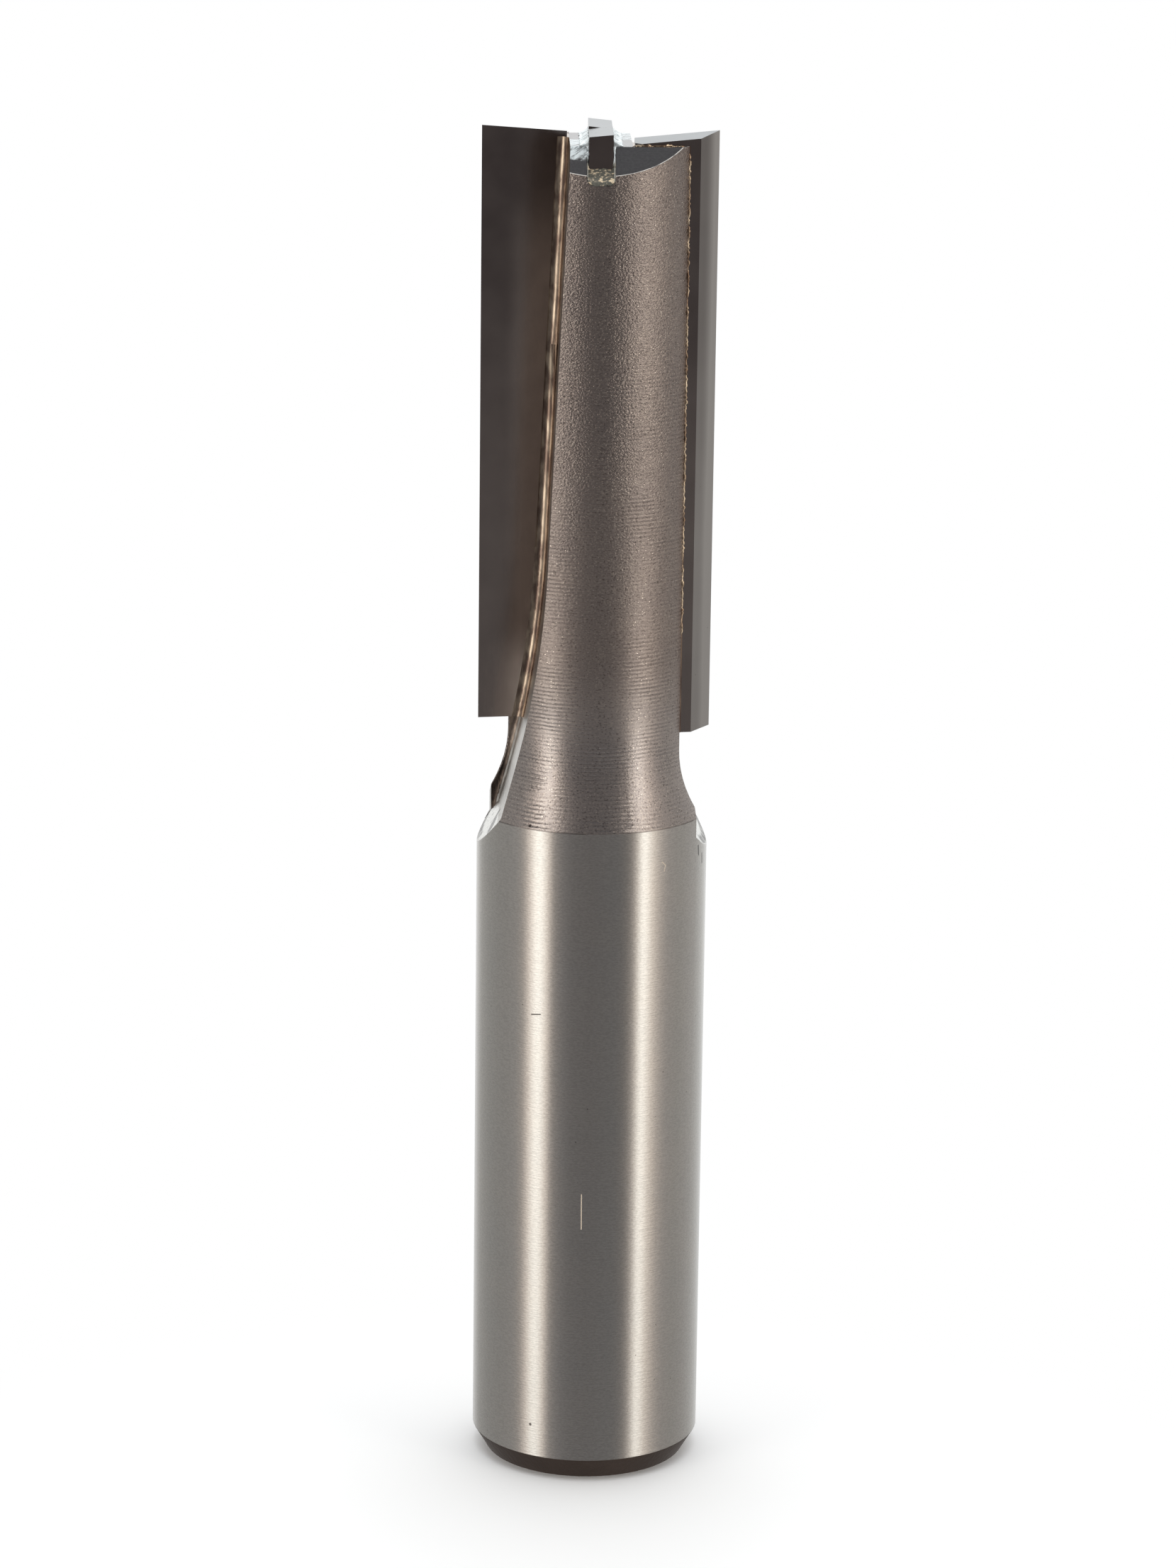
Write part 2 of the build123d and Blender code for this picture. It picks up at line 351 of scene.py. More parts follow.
# %% Place in millimetres
def millimetres(tree):
    """Where a point is on the bit, in millimetres: its place, its distance from the axis, its height."""
    place = add(tree, "ShaderNodeTexCoord").outputs["Object"]
    place = vector_calc(tree, "SCALE", place, scale=1 / MM)
    split = axes(tree, place)
    flat = add(tree, "ShaderNodeCombineXYZ", {"X": split["X"], "Y": split["Y"]}).outputs[0]
    return place, vector_calc(tree, "LENGTH", flat), split["Z"]


# %% Grinding group
# Fine scratches that run one way: noise squeezed across the marks and stretched along them.
grinding, given, result = effect(
    "grinding",
    [
        ("Place", "NodeSocketVector", None),
        ("Stretch", "NodeSocketVector", (1, 1, 1)),
        ("Fineness", "NodeSocketFloat", 4.0),
    ],
    [("Marks", "NodeSocketFloat"), ("Patches", "NodeSocketFloat")],
)
squeezed = vector_calc(grinding, "MULTIPLY", given["Place"], given["Stretch"])
inputs = {"Vector": squeezed, "Scale": given["Fineness"], "Detail": 3.0, "Roughness": 0.65}
fine = add(grinding, "ShaderNodeTexNoise", inputs)
cloud = add(grinding, "ShaderNodeTexNoise", {"Vector": given["Place"], "Scale": 0.35, "Detail": 3.0})
plug(grinding, result["Marks"], fine.outputs[0])
plug(grinding, result["Patches"], cloud.outputs[0])

# %% Grain group
# Blasting leaves shallow dents of about a tenth of a millimetre, and a few of them catch the light.
grain, given, result = effect(
    "blasted_grain",
    [("Place", "NodeSocketVector", None), ("Size", "NodeSocketFloat", 0.1)],
    [("Height", "NodeSocketFloat"), ("Glint", "NodeSocketFloat")],
)
per_mm = calc(grain, "DIVIDE", 1.0, given["Size"])
inputs = {"Vector": given["Place"], "Scale": per_mm, "Detail": 2.0, "Roughness": 0.6}
dents = add(grain, "ShaderNodeTexNoise", inputs)
cells = add(grain, "ShaderNodeTexVoronoi", {"Vector": given["Place"], "Scale": per_mm})
cell = add(grain, "ShaderNodeSeparateColor", {0: cells.outputs["Color"]})
bright = step(grain, cell.outputs["Red"], 0.88, 0.94)
middle = step(grain, cells.outputs["Distance"], 0.35, 0.15)
plug(grain, result["Height"], dents.outputs[0])
plug(grain, result["Glint"], calc(grain, "MULTIPLY", bright, middle))

# %% Specks group
# One dark round speck in each cell, of a random size up to the one given.
specks, given, result = effect(
    "specks",
    [
        ("Place", "NodeSocketVector", None),
        ("Spacing", "NodeSocketFloat", 0.8),
        ("Size", "NodeSocketFloat", 0.06),
    ],
    [("Mask", "NodeSocketFloat")],
)
per_mm = calc(specks, "DIVIDE", 1.0, given["Spacing"])
cells = add(specks, "ShaderNodeTexVoronoi", {"Vector": given["Place"], "Scale": per_mm})
random_size = add(specks, "ShaderNodeSeparateColor", {0: cells.outputs["Color"]}).outputs["Green"]
reach = calc(specks, "MULTIPLY", calc(specks, "MULTIPLY", given["Size"], per_mm), random_size)
inside = calc(specks, "SUBTRACT", reach, cells.outputs["Distance"])
plug(specks, result["Mask"], step(specks, inside, 0.0, 0.03))

# %% Scratch group
# One straight scratch from start to end, or a dent where both are the same: 1 on it, 0 elsewhere.
scratch, given, result = effect(
    "scratch",
    [
        ("Place", "NodeSocketVector", None),
        ("Start", "NodeSocketVector", (0, 0, 0)),
        ("End", "NodeSocketVector", (0, 0, 1)),
        ("Width", "NodeSocketFloat", 0.05),
    ],
    [("Mask", "NodeSocketFloat")],
)
run = vector_calc(scratch, "SUBTRACT", given["End"], given["Start"])
offset = vector_calc(scratch, "SUBTRACT", given["Place"], given["Start"])
along_run = vector_calc(scratch, "DOT_PRODUCT", offset, run)
run_squared = vector_calc(scratch, "DOT_PRODUCT", run, run)
share = calc(scratch, "DIVIDE", along_run, calc(scratch, "MAXIMUM", run_squared, 0.0001), clamp=True)
nearest = vector_calc(scratch, "SCALE", run, scale=share)
gap = vector_calc(scratch, "DISTANCE", offset, nearest)
plug(scratch, result["Mask"], step(scratch, calc(scratch, "DIVIDE", gap, given["Width"]), 1.0, 0.5))


def marks(tree, place, runs):
    """The masks of several scratches, each given as start, end and width in millimetres, in one."""
    found = None
    for start, end, width in runs:
        mask = use(tree, scratch, Place=place, Start=start, End=end, Width=width)["Mask"]
        found = mask if found is None else calc(tree, "MAXIMUM", found, mask)
    return found


# %% [markdown]
# ## The steel body
#
# One piece of steel carries five finishes: the ground shank, the turned and blasted neck and body,
# the milled gullets, the ground end, and the raw chamfer at the foot. It could be cut into five
# objects, but then the seams between them would have to match. Instead one material looks at where
# it is: how high, how far from the axis, and how deep under the turned outline.

# %% Steel: where each finish is
# Sizes are in millimetres. Each mask is 1 where its finish is and 0 elsewhere.
SHANK_TOP = 37.4
SHANK_RADIUS = 6.35
BODY_RADIUS = 5.3
FLARE_TOP = 41.2
FLARE_RADIUS = 7.4
CHAMFER_TOP = 1.25
RAMP_TOP = 37.3        # where a gullet's run-out begins
EDGE_SOFTNESS = 0.02


def finish(name):
    material = bpy.data.materials.new(name)
    material.use_nodes = True
    tree = material.node_tree
    tree.nodes.clear()
    shader = add(tree, "ShaderNodeBsdfPrincipled")
    add(tree, "ShaderNodeOutputMaterial", {"Surface": shader.outputs[0]})
    return material, tree, shader


steel, tree, shader = finish("steel_body_finish")
place, radius, height = millimetres(tree)
looks = add(tree, "ShaderNodeNewGeometry").outputs["Normal"]
looks_up = axes(tree, looks)["Z"]

below_flare = calc(tree, "MAXIMUM", calc(tree, "SUBTRACT", FLARE_TOP, height), 0.0)
drop_squared = calc(tree, "MULTIPLY", below_flare, below_flare)
arc = calc(tree, "SQRT", calc(tree, "SUBTRACT", FLARE_RADIUS**2, drop_squared))
flare = calc(tree, "SUBTRACT", BODY_RADIUS + FLARE_RADIUS, arc)
on_shank = step(tree, height, SHANK_TOP, SHANK_TOP - EDGE_SOFTNESS)
outline = blend(tree, on_shank, flare, SHANK_RADIUS)
depth = calc(tree, "SUBTRACT", outline, radius)
milled = step(tree, depth, 0.03, 0.07)
at_end = both(tree, step(tree, looks_up, 0.3, 0.5), step(tree, height, 60.0, 61.0))
at_foot = step(tree, height, CHAMFER_TOP + EDGE_SOFTNESS, CHAMFER_TOP - EDGE_SOFTNESS)
ramp_low = step(tree, height, RAMP_TOP, RAMP_TOP - 0.1)
on_ramp = both(tree, milled, ramp_low, step(tree, looks_up, 0.35, 0.48))
CUTTER_AZIMUTH = radians(15)
across_wall = (cos(CUTTER_AZIMUTH), sin(CUTTER_AZIMUTH), 0)
toward_wall = calc(tree, "ABSOLUTE", vector_calc(tree, "DOT_PRODUCT", looks, across_wall))
wall_low = step(tree, height, 47.0, 43.0)
on_wall = both(tree, step(tree, toward_wall, 0.7, 0.85), wall_low, milled)
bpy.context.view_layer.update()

# %% Steel: marks and grain
# Turning leaves rings, clearest on the neck and fading toward the blasted end, where the dents of
# the blasting take over. Each ring breaks off here and there.
RING_SPACING = 0.213
DENT_SIZE = 0.1
wander = noise(tree, place, 0.6)
turns = calc(tree, "MULTIPLY_ADD", height, 2 * pi / RING_SPACING, calc(tree, "MULTIPLY", wander, 3.0))
ring_patches = step(tree, noise(tree, place, 0.35, detail=3.0), 0.35, 0.65, 0.25, 1.0)
body_rings = step(tree, height, 72.0, 58.0, 0.3, 1.45)
neck_rings = step(tree, height, 50.0, 44.0, 1.0, 1.5)
ring_fade = calc(tree, "MULTIPLY", body_rings, neck_rings)
broken = step(tree, noise(tree, place, 2.2, stretch=(0.4, 0.4, 1.0)), 0.35, 0.6, 0.35, 1.0)
ring_depth = both(tree, ring_patches, ring_fade, broken)
rings = calc(tree, "MULTIPLY", calc(tree, "SINE", turns), ring_depth)
flattened = vector_calc(tree, "MULTIPLY", place, (0.85, 0.85, 1.35))
blasted = use(tree, grain, Place=flattened, Size=DENT_SIZE)
dents = calc(tree, "MULTIPLY", blasted["Height"], step(tree, height, 43.0, 60.0, 1.5, 8.5))
land_height = calc(tree, "MULTIPLY_ADD", rings, 1.2, dents)
ground = use(tree, grinding, Place=place, Stretch=(0.12, 0.12, 4.0), Fineness=3.0)
turning_marks = noise(tree, place, 9.0, detail=3.0, stretch=(0.4, 0.4, 1.6))
shank_height = calc(tree, "MULTIPLY_ADD", ground["Marks"], 1.0, calc(tree, "MULTIPLY", turning_marks, 0.6))
turned_height = blend(tree, on_shank, land_height, shank_height)
cut_height = noise(tree, place, 5.0, detail=3.0, stretch=(1, 1, 0.5))
surface = blend(tree, milled, turned_height, calc(tree, "MULTIPLY", cut_height, 5.0))
surface = blend(tree, at_end, surface, calc(tree, "MULTIPLY", ground["Marks"], 0.4))

# %% Steel: filler smeared on the end
# Across and along the plunge tip, the same way round on both sides of the axis.
TIP_TURN = radians(5.4)
beside = axes(tree, turn_about_z(tree, place, -TIP_TURN))
across = calc(tree, "MULTIPLY", beside["X"], calc(tree, "SIGN", beside["Y"]))
ragged = noise(tree, place, 1.6, detail=3.0)
reach = calc(tree, "MULTIPLY_ADD", ragged, 1.6, calc(tree, "ABSOLUTE", beside["Y"]))
beside_tip = both(tree, step(tree, across, 0.5, 0.7), step(tree, across, 2.2, 1.7))
smear = both(tree, beside_tip, step(tree, reach, 4.75, 4.5), at_end)
slanted = turn_about_z(tree, place, radians(35))
smear_marks = noise(tree, slanted, 2.6, detail=5.0, roughness=0.6, stretch=(3.0, 0.35, 1.0))
surface = blend(tree, smear, surface, calc(tree, "MULTIPLY", smear_marks, 9.0))

# %% Steel: scratches and dents
# Start, end and width of each mark.
DARK_MARKS = [
    ((-2.54, -5.81, 3.08), (-2.54, -5.81, 3.08), 0.11),
    ((-2.90, -5.54, 37.56), (-2.90, -5.54, 37.56), 0.12),
    ((-5.02, -1.63, 37.24), (-5.14, -1.95, 37.01), 0.34),
    ((-5.20, -2.35, 36.88), (-5.29, -3.00, 36.67), 0.46),
    ((6.02, -2.01, 35.80), (6.06, -1.95, 35.30), 0.09),
    ((6.19, -1.40, 35.20), (6.20, -1.36, 34.70), 0.09),
    ((-2.69, -5.75, 26.97), (-2.20, -5.96, 27.05), 0.05),
]
LIGHT_MARKS = [
    ((4.24, -4.73, 35.56), (4.42, -4.56, 35.35), 0.04),
    ((4.42, -4.56, 35.35), (4.36, -4.62, 35.02), 0.04),
    ((0.21, -6.35, 16.90), (0.22, -6.34, 14.90), 0.04),
]
dark_marks = marks(tree, place, DARK_MARKS)
light_marks = marks(tree, place, LIGHT_MARKS)

# %% Steel: colours of the turned body and the shank
GLINT = srgb(250, 240, 228)
blotches = noise(tree, place, 0.45, detail=4.0)
tint_place = step(tree, height, 47.5, 41.5, 0.25, 1.0)
land_high = blend(tree, blotches, srgb(136, 125, 122), srgb(154, 141, 134))
land_low = blend(tree, blotches, srgb(166, 159, 158), srgb(182, 173, 169))
land_colour = blend(tree, tint_place, land_high, land_low)
# Painted highlights: the tops of the blasted dents are painted lighter.
high = step(tree, blasted["Height"], 0.52, 0.68, 0.0, 0.22)
land_colour = blend(tree, high, land_colour, srgb(236, 222, 208))
# Painted shade: the hollows of the blasted dents are painted darker.
dent_shade = step(tree, blasted["Height"], 0.42, 0.32, 0.0, 0.62)
land_colour = blend(tree, dent_shade, land_colour, srgb(78, 68, 64))
# Painted shade: the grooves of the turned rings are painted darker.
ring_groove_shade = step(tree, rings, 0.0, -1.5, 0.0, 0.16)
land_colour = blend(tree, ring_groove_shade, land_colour, srgb(84, 76, 72))
# Painted glints: a few grain cells are painted in a pale glint colour.
land_colour = blend(tree, calc(tree, "MULTIPLY", blasted["Glint"], 0.7), land_colour, GLINT)

shank_colour = blend(tree, ground["Patches"], srgb(197, 195, 193), srgb(205, 200, 195))
shank_dull = blend(tree, 0.2, shank_colour, srgb(120, 116, 114))
mottle = noise(tree, place, 9.0, detail=3.0, roughness=0.7, stretch=(0.6, 0.6, 1.5))
shank_colour = blend(tree, step(tree, mottle, 0.36, 0.62), shank_dull, shank_colour)
spots = use(tree, specks, Place=place, Spacing=0.9, Size=0.06)["Mask"]
shank_colour = blend(tree, calc(tree, "MULTIPLY", spots, 0.6), shank_colour, srgb(90, 82, 78))
colour = blend(tree, on_shank, land_colour, shank_colour)
# Painted shade: a broken dark line is painted along the shoulder step.
from_shoulder = calc(tree, "ABSOLUTE", calc(tree, "SUBTRACT", height, SHANK_TOP))
shoulder_shade_line = step(tree, from_shoulder, 0.05, 0.02, 0.0, 0.5)
shoulder_shade_line = both(tree, shoulder_shade_line, step(tree, wander, 0.42, 0.56))
colour = blend(tree, shoulder_shade_line, colour, srgb(84, 78, 76))

# %% Steel: colours of the gullets
# The floor is dull, the wall beside the body is painted bright as light falling on it, the part just
# above the run-out is painted dark as shade, and the run-out is painted brightest as lit, with a
# few dark scores and a dark rim.
smudges = noise(tree, place, 3.0, detail=4.0, roughness=0.6, stretch=(1.4, 1.4, 0.35))
smudges = step(tree, smudges, 0.36, 0.66)
floor_colour = blend(tree, smudges, srgb(112, 100, 92), srgb(146, 134, 125))
# Painted shade and light: the zone just above the run-out is painted dark, the wall facing across bright.
shaded_gullet_colour = blend(tree, smudges, srgb(52, 46, 43), srgb(92, 82, 76))
lit_wall_colour = blend(tree, smudges, srgb(196, 193, 190), srgb(230, 228, 224))
shade_zone_above_ramp = step(tree, height, 40.4, 39.4)
gullet_colour = blend(tree, shade_zone_above_ramp, floor_colour, shaded_gullet_colour)
gullet_colour = blend(tree, on_wall, gullet_colour, lit_wall_colour)
colour = blend(tree, milled, colour, gullet_colour)
scores = noise(tree, place, 2.2, detail=3.0, stretch=(2.2, 2.2, 0.4))
scores = step(tree, scores, 0.63, 0.67)
# Painted light: the run-out is painted near white, with dark scores on it.
lit_ramp_colour = blend(tree, scores, srgb(238, 238, 235), srgb(60, 56, 54))
colour = blend(tree, on_ramp, colour, lit_ramp_colour)
near_edge = both(tree, step(tree, depth, 0.40, 0.24), step(tree, axes(tree, place)["Y"], -1.5, -0.9))
ramp_edge = both(tree, near_edge, on_ramp, step(tree, smudges, 0.1, 0.6, 0.55, 1.0))
colour = blend(tree, ramp_edge, colour, srgb(50, 45, 43))

# %% Steel: colours of the end and the foot
# Painted highlight: a thin pale line is painted along the rim of the ground end.
near_rim = step(tree, radius, BODY_RADIUS - 0.07, BODY_RADIUS - 0.03)
rim = both(tree, near_rim, step(tree, ragged, 0.3, 0.5, 0.4, 0.9), at_end)
end_colour = blend(tree, noise(tree, place, 7.0, detail=3.0), srgb(128, 127, 129), srgb(164, 163, 164))
end_colour = blend(tree, rim, end_colour, srgb(205, 204, 200))
smear_pale = step(tree, smear_marks, 0.36, 0.6)
smear_colour = blend(tree, smear_pale, srgb(126, 130, 132), srgb(226, 236, 240))
end_colour = blend(tree, smear, end_colour, smear_colour)
colour = blend(tree, at_end, colour, end_colour)
foot_colour = blend(tree, blotches, srgb(78, 67, 62), srgb(100, 87, 80))
colour = blend(tree, at_foot, colour, foot_colour)
colour = blend(tree, calc(tree, "MULTIPLY", dark_marks, 0.85), colour, srgb(46, 40, 38))
colour = blend(tree, light_marks, colour, srgb(205, 190, 172))

# %% Steel: roughness, and the finish put together
# The few bright marks that should stay pale whatever stands around them, the light scratches and the
# painted highlight on the end's rim, are made less metallic.
GLINT_ROUGH = 0.1
NECK_ROUGH = 0.24
SHANK_ROUGH = 0.16
land_rough = step(tree, height, 64.0, 50.0, 0.17, 0.36)
land_rough = blend(tree, step(tree, height, 44.5, 41.0), land_rough, NECK_ROUGH)
land_rough = blend(tree, blasted["Glint"], land_rough, GLINT_ROUGH)
rough = blend(tree, on_shank, land_rough, SHANK_ROUGH)
for mask, value in ((milled, 0.34), (on_ramp, 0.25), (at_end, 0.24), (at_foot, 0.5)):
    rough = blend(tree, mask, rough, value)
SURFACE_DEPTH = 0.005 * MM
bump = add(tree, "ShaderNodeBump", {"Height": surface, "Strength": 1.0, "Distance": SURFACE_DEPTH})
pale_scratches_and_rim_highlight = calc(tree, "MAXIMUM", rim, light_marks)
not_bare = calc(tree, "MAXIMUM", pale_scratches_and_rim_highlight, calc(tree, "MULTIPLY", smear, 0.6))
plug(tree, shader.inputs["Base Color"], colour)
plug(tree, shader.inputs["Metallic"], calc(tree, "SUBTRACT", 1.0, not_bare))
plug(tree, shader.inputs["Roughness"], rough)
plug(tree, shader.inputs["Normal"], bump.outputs[0])


def dress(node, material):
    for index in range(len(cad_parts[node].material_slots)):
        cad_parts[node].material_slots[index].material = material


dress("steel_body", steel)

# %% [markdown]
# ## Carbide
#
# Cemented carbide is darker than steel and takes a fine polish. The rake faces are lapped nearly
# to a mirror, so they show the dark space in front of them, while the side facets were ground with
# a coarser wheel.

# %% Carbide
FACET_AZIMUTH = radians(-26)   # the way the first cutter's side facet looks

carbide, tree, shader = finish("carbide_finish")
place, radius, height = millimetres(tree)
looks = add(tree, "ShaderNodeNewGeometry").outputs["Normal"]
across_facet = (cos(FACET_AZIMUTH), sin(FACET_AZIMUTH), 0)
toward_facet = calc(tree, "ABSOLUTE", vector_calc(tree, "DOT_PRODUCT", looks, across_facet))
side_facet = step(tree, toward_facet, 0.9, 0.95)
end_facet = step(tree, axes(tree, looks)["Z"], 0.9, 0.95)
ground_facet = calc(tree, "MAXIMUM", side_facet, end_facet)
ground = use(tree, grinding, Place=place, Stretch=(0.5, 0.5, 0.06), Fineness=8.0)
spots = use(tree, specks, Place=place, Spacing=1.1, Size=0.06)["Mask"]
# Painted reflection: the lapped faces are painted lighter toward their lower end and toward the axis below
# the top, and the side facets lighter toward their outer edge and their lower end.
cloud = calc(tree, "MULTIPLY_ADD", ground["Patches"], 0.34, step(tree, height, 72.0, 50.0, 0.0, 0.34))
painted_inner_sheen = both(tree, step(tree, radius, 5.2, 3.2), step(tree, height, 73.4, 64.0))
cloud = calc(tree, "ADD", cloud, painted_inner_sheen)
lapped = blend(tree, cloud, srgb(92, 82, 82), srgb(196, 184, 178))
painted_outer_sheen = calc(tree, "ADD", step(tree, radius, 5.85, 6.25), step(tree, height, 70.0, 50.0, 0.0, 0.45))
wheel_patches_and_sheen = calc(tree, "MULTIPLY_ADD", ground["Patches"], 0.2, painted_outer_sheen)
wheel_ground = blend(tree, wheel_patches_and_sheen, srgb(112, 106, 104), srgb(172, 168, 166))
colour = blend(tree, ground_facet, lapped, wheel_ground)
end_colour = blend(tree, ground["Patches"], srgb(172, 176, 178), srgb(188, 192, 195))
colour = blend(tree, end_facet, colour, end_colour)
CHIPS = [
    ((0.30, -0.22, 74.68), (0.30, -0.22, 74.68), 0.05),
    ((0.16, -0.16, 74.67), (0.16, -0.16, 74.67), 0.04),
]
spots = calc(tree, "MAXIMUM", spots, marks(tree, place, CHIPS))
colour = blend(tree, calc(tree, "MULTIPLY", spots, 0.7), colour, srgb(60, 52, 50))
GRIND_DEPTH = 0.0012 * MM
bump = add(tree, "ShaderNodeBump", {"Height": ground["Marks"], "Strength": 0.7, "Distance": GRIND_DEPTH})
lapped_rough = blend(tree, ground["Marks"], 0.15, 0.24)
plug(tree, shader.inputs["Base Color"], colour)
plug(tree, shader.inputs["Metallic"], 1.0)
plug(tree, shader.inputs["Roughness"], blend(tree, ground_facet, lapped_rough, 0.34))
plug(tree, shader.inputs["Normal"], bump.outputs[0])
for node in ("first_cutter", "second_cutter", "plunge_tip"):
    dress(node, carbide)

# %% [markdown]
# ## Brazing metal
#
# The filler is a silver alloy that sets with a coppery skin.

# %% Filler metal
SEAM_DEPTH, SEAM_ROUGH = 0.003, 0.08
BEAD_DEPTH, BEAD_ROUGH = 0.03, 0.12


def filler_metal(name, dull, light, lump_height, smoothest):
    """A filler finish between two colours, with lumps of a height in millimetres."""
    material, tree, shader = finish(name)
    place = millimetres(tree)[0]
    lumps = noise(tree, place, 3.0, detail=3.0, stretch=(1, 1, 0.3))
    fine = noise(tree, place, 12.0)
    height = calc(tree, "MULTIPLY_ADD", fine, 0.4, lumps)
    bump = add(tree, "ShaderNodeBump", {"Height": height, "Strength": 1.0, "Distance": lump_height * MM})
    plug(tree, shader.inputs["Base Color"], blend(tree, step(tree, lumps, 0.35, 0.7), dull, light))
    plug(tree, shader.inputs["Metallic"], 1.0)
    plug(tree, shader.inputs["Roughness"], blend(tree, fine, smoothest, smoothest + 0.14))
    plug(tree, shader.inputs["Normal"], bump.outputs[0])
    return material


seam_colours = srgb(116, 99, 90), srgb(186, 170, 152)
bead_colours = srgb(150, 124, 104), srgb(252, 232, 204)
seam_metal = filler_metal("seam_filler_finish", *seam_colours, SEAM_DEPTH, SEAM_ROUGH)
bead_metal = filler_metal("bead_filler_finish", *bead_colours, BEAD_DEPTH, BEAD_ROUGH)
for node in ("first_cutter_braze", "second_cutter_braze", "plunge_tip_braze"):
    dress(node, seam_metal)

# %% [markdown]
# ## Beads of filler
#
# Where the cutter's back meets the body, a little filler is squeezed out and sets as a rough bead.
# A curve with a round bevel would be too even, so a ring of eight points is extruded along the
# seam, and each new ring is shifted and scaled by a seeded random amount.

# %% Bead maker
HALF_TURN = Matrix.Rotation(pi, 4, "Z")
CUTTER_TURN = Matrix.Rotation(CUTTER_AZIMUTH, 4, "Z")


def add_piece(name, mesh_data, material):
    """A new piece in the scene, on the root body."""
    piece = bpy.data.objects.new(name, mesh_data)
    bpy.context.scene.collection.objects.link(piece)
    mesh_data.materials.clear()
    mesh_data.materials.append(material)
    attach(piece, "root")
    return piece


def along(corners, spacing):
    """Evenly spaced points on straight runs between corners."""
    points = [corners[0].copy()]
    for start, end in zip(corners, corners[1:]):
        count = max(1, round((end - start).length / spacing))
        points += [start.lerp(end, i / count) for i in range(1, count + 1)]
    return points


ROD_SIDES = 8
TAPER_STEP = 0.25          # how much thicker each ring gets, from either end
LUMP_SIZES = (0.55, 1.25)  # smallest and largest ring, as a share of the width


def rough_bead(corners, width, spacing, seed, wander=0.25):
    """A lumpy rod of filler along corners in millimetres, as a mesh in metres."""
    dice = random.Random(seed)
    points = along(corners, spacing)
    rod = bmesh.new()
    ring = bmesh.ops.create_circle(rod, cap_ends=True, radius=width / 2, segments=ROD_SIDES)["verts"]
    edges = list({e for v in ring for e in v.link_edges})
    placed = Matrix.Identity(4)
    for i, point in enumerate(points):
        heading = points[min(i + 1, len(points) - 1)] - points[max(i - 1, 0)]
        turn = heading.to_track_quat("Z", "Y").to_matrix().to_4x4()
        from_an_end = min(i, len(points) - 1 - i)
        taper = min(1.0, (1 + from_an_end) * TAPER_STEP)
        size = Matrix.Scale(taper * dice.uniform(*LUMP_SIZES), 4)
        off = Vector([dice.uniform(-wander, wander) * width for _ in range(3)])
        wanted = Matrix.Translation(point + off) @ turn @ size
        if i:
            made = bmesh.ops.extrude_edge_only(rod, edges=edges)["geom"]
            ring = [g for g in made if isinstance(g, bmesh.types.BMVert)]
            edges = [g for g in made if isinstance(g, bmesh.types.BMEdge)]
        bmesh.ops.transform(rod, matrix=wanted @ placed.inverted(), verts=ring)
        placed = wanted
    bmesh.ops.contextual_create(rod, geom=edges)
    bmesh.ops.scale(rod, vec=(MM, MM, MM), verts=rod.verts)
    bmesh.ops.recalc_face_normals(rod, faces=rod.faces)
    for face in rod.faces:
        face.smooth = True
    mesh_data = bpy.data.meshes.new("bead")
    rod.to_mesh(mesh_data)
    rod.free()
    return mesh_data


# %% Beads along the cutters' backs
# Corners in the first cutter's own frame, then turned into place.
BACK_BEAD = [Vector(c) for c in (
    (1.15, -3.20, 74.02), (2.2, -3.19, 74.03), (3.3, -3.19, 74.02), (3.85, -3.20, 73.98),
    (4.12, -3.20, 73.8), (4.22, -3.20, 73.3), (4.21, -3.21, 68.0), (4.22, -3.20, 62.0),
    (4.21, -3.21, 55.0), (4.20, -3.21, 47.6),
)]
BEAD_WIDTH = 0.16
RING_GAP = 0.1
for name, turn, seed in (
    ("first_back_bead", CUTTER_TURN, 4),
    ("second_back_bead", HALF_TURN @ CUTTER_TURN, 9),
):
    mesh_data = rough_bead([turn @ c for c in BACK_BEAD], BEAD_WIDTH, RING_GAP, seed)
    add_piece(name, mesh_data, bead_metal)
print("back beads:", len(mesh_data.vertices), "points each")

# %% [markdown]
# ## Filler around the plunge tip
#
# The filler around the small bar across the end is silver grey, glassy and drawn up against the
# bar's sides. The solid's plain fillets have its shape, so a merged copy of them is remeshed into
# small even faces, and its points are pushed in and out by noise.

# %% Tip filler
MERGE_DISTANCE = 0.0005 * MM
SKIN_CELL = 0.045 * MM
LUMP_SIZE = 0.45
LUMP_HEIGHT = 0.07
SMALL_LUMPS = 2.7          # how many times smaller the second lumps are
SMALL_SHARE = 0.45         # and how high, beside the first ones

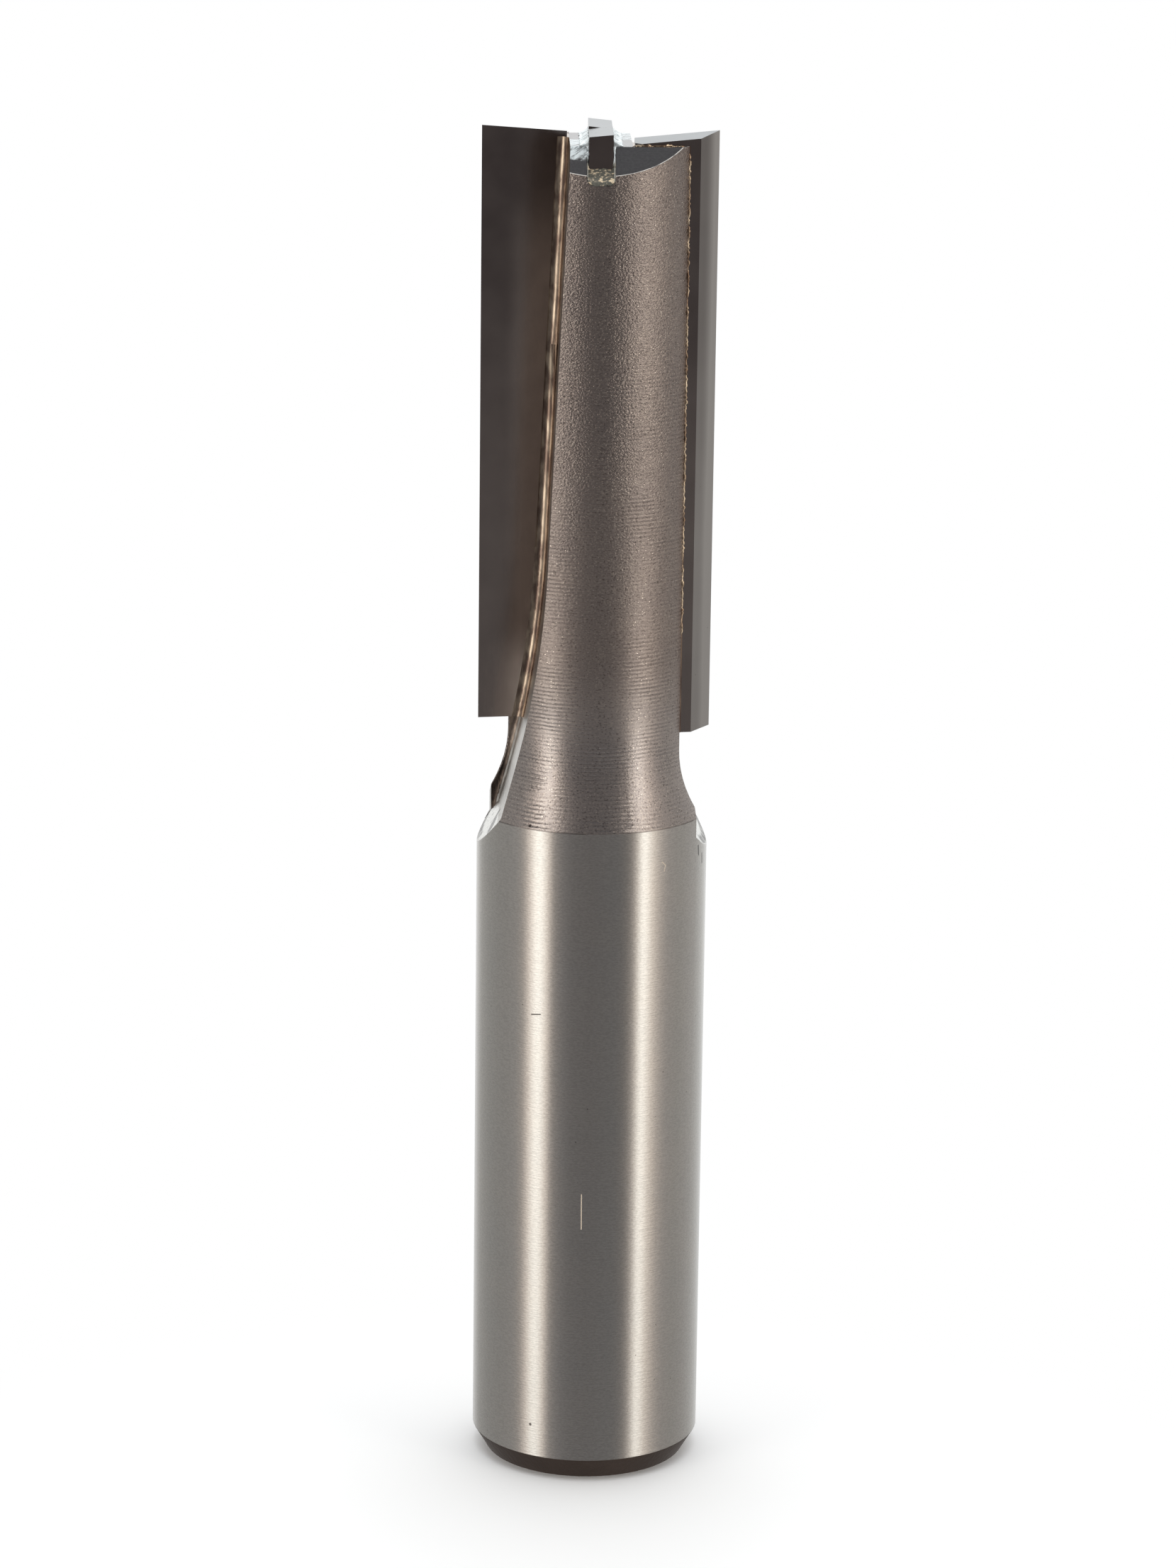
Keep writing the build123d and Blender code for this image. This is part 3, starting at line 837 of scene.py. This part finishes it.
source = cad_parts["plunge_tip_braze"].data.copy()
skin = bmesh.new()
skin.from_mesh(source)
bmesh.ops.remove_doubles(skin, verts=skin.verts, dist=MERGE_DISTANCE)
bmesh.ops.recalc_face_normals(skin, faces=skin.faces)
skin.to_mesh(source)
skin.free()
lumpy = bpy.data.objects.new("tip_filler", source)
bpy.context.scene.collection.objects.link(lumpy)
remesh = lumpy.modifiers.new("even_faces", "REMESH")
remesh.mode = "VOXEL"
remesh.voxel_size = SKIN_CELL
bpy.context.view_layer.update()
even = bpy.data.meshes.new_from_object(lumpy.evaluated_get(bpy.context.evaluated_depsgraph_get()))
bpy.data.objects.remove(lumpy)
skin = bmesh.new()
skin.from_mesh(even)
every_axis = {"use_axis_x": True, "use_axis_y": True, "use_axis_z": True}
bmesh.ops.smooth_vert(skin, verts=skin.verts, factor=0.5, **every_axis)
for vert in skin.verts:
    spot = vert.co / MM
    lump = mathutils_noise.noise(spot / LUMP_SIZE)
    lump += SMALL_SHARE * mathutils_noise.noise(spot / LUMP_SIZE * SMALL_LUMPS)
    vert.co += vert.normal * lump * LUMP_HEIGHT * MM
for face in skin.faces:
    face.smooth = True
skin.to_mesh(even)
skin.free()

# %% Tip filler: finish
# Pale and glassy above, with coppery patches in the pool below, and a light outline at its sides that is a
# painted highlight.
POOL_TOP, POOL_FULL = 73.75, 73.45
LUMP_SHADE = 0.014 * MM
glassy, tree, shader = finish("tip_filler_finish")
place, _, height = millimetres(tree)
streaks = noise(tree, place, 2.2, detail=4.0, roughness=0.65, stretch=(1.0, 1.6, 0.7))
across = calc(tree, "ABSOLUTE", axes(tree, turn_about_z(tree, place, -TIP_TURN))["X"])
low = step(tree, calc(tree, "MULTIPLY_ADD", streaks, 0.6, height), POOL_TOP, POOL_FULL)
pale = blend(tree, step(tree, streaks, 0.36, 0.58), srgb(168, 178, 182), srgb(240, 249, 253))
coppery = step(tree, noise(tree, place, 5.0), 0.5, 0.66)
gold = blend(tree, coppery, srgb(100, 100, 93), srgb(230, 212, 182))
# Painted highlight: a pale outline is painted along the sides of the pool.
gold = blend(tree, step(tree, across, 0.66, 0.72), gold, srgb(226, 228, 220))
fine_lumps = noise(tree, place, 6.0, detail=3.0)
bump = add(tree, "ShaderNodeBump", {"Height": fine_lumps, "Strength": 1.0, "Distance": LUMP_SHADE})
plug(tree, shader.inputs["Base Color"], blend(tree, low, pale, gold))
plug(tree, shader.inputs["Metallic"], 0.2)
plug(tree, shader.inputs["Roughness"], 0.22)
plug(tree, shader.inputs["Normal"], bump.outputs[0])
tip_filler = add_piece("tip_filler", even, glassy)
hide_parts("plunge_tip_braze")
print("tip filler:", len(even.polygons), "faces")
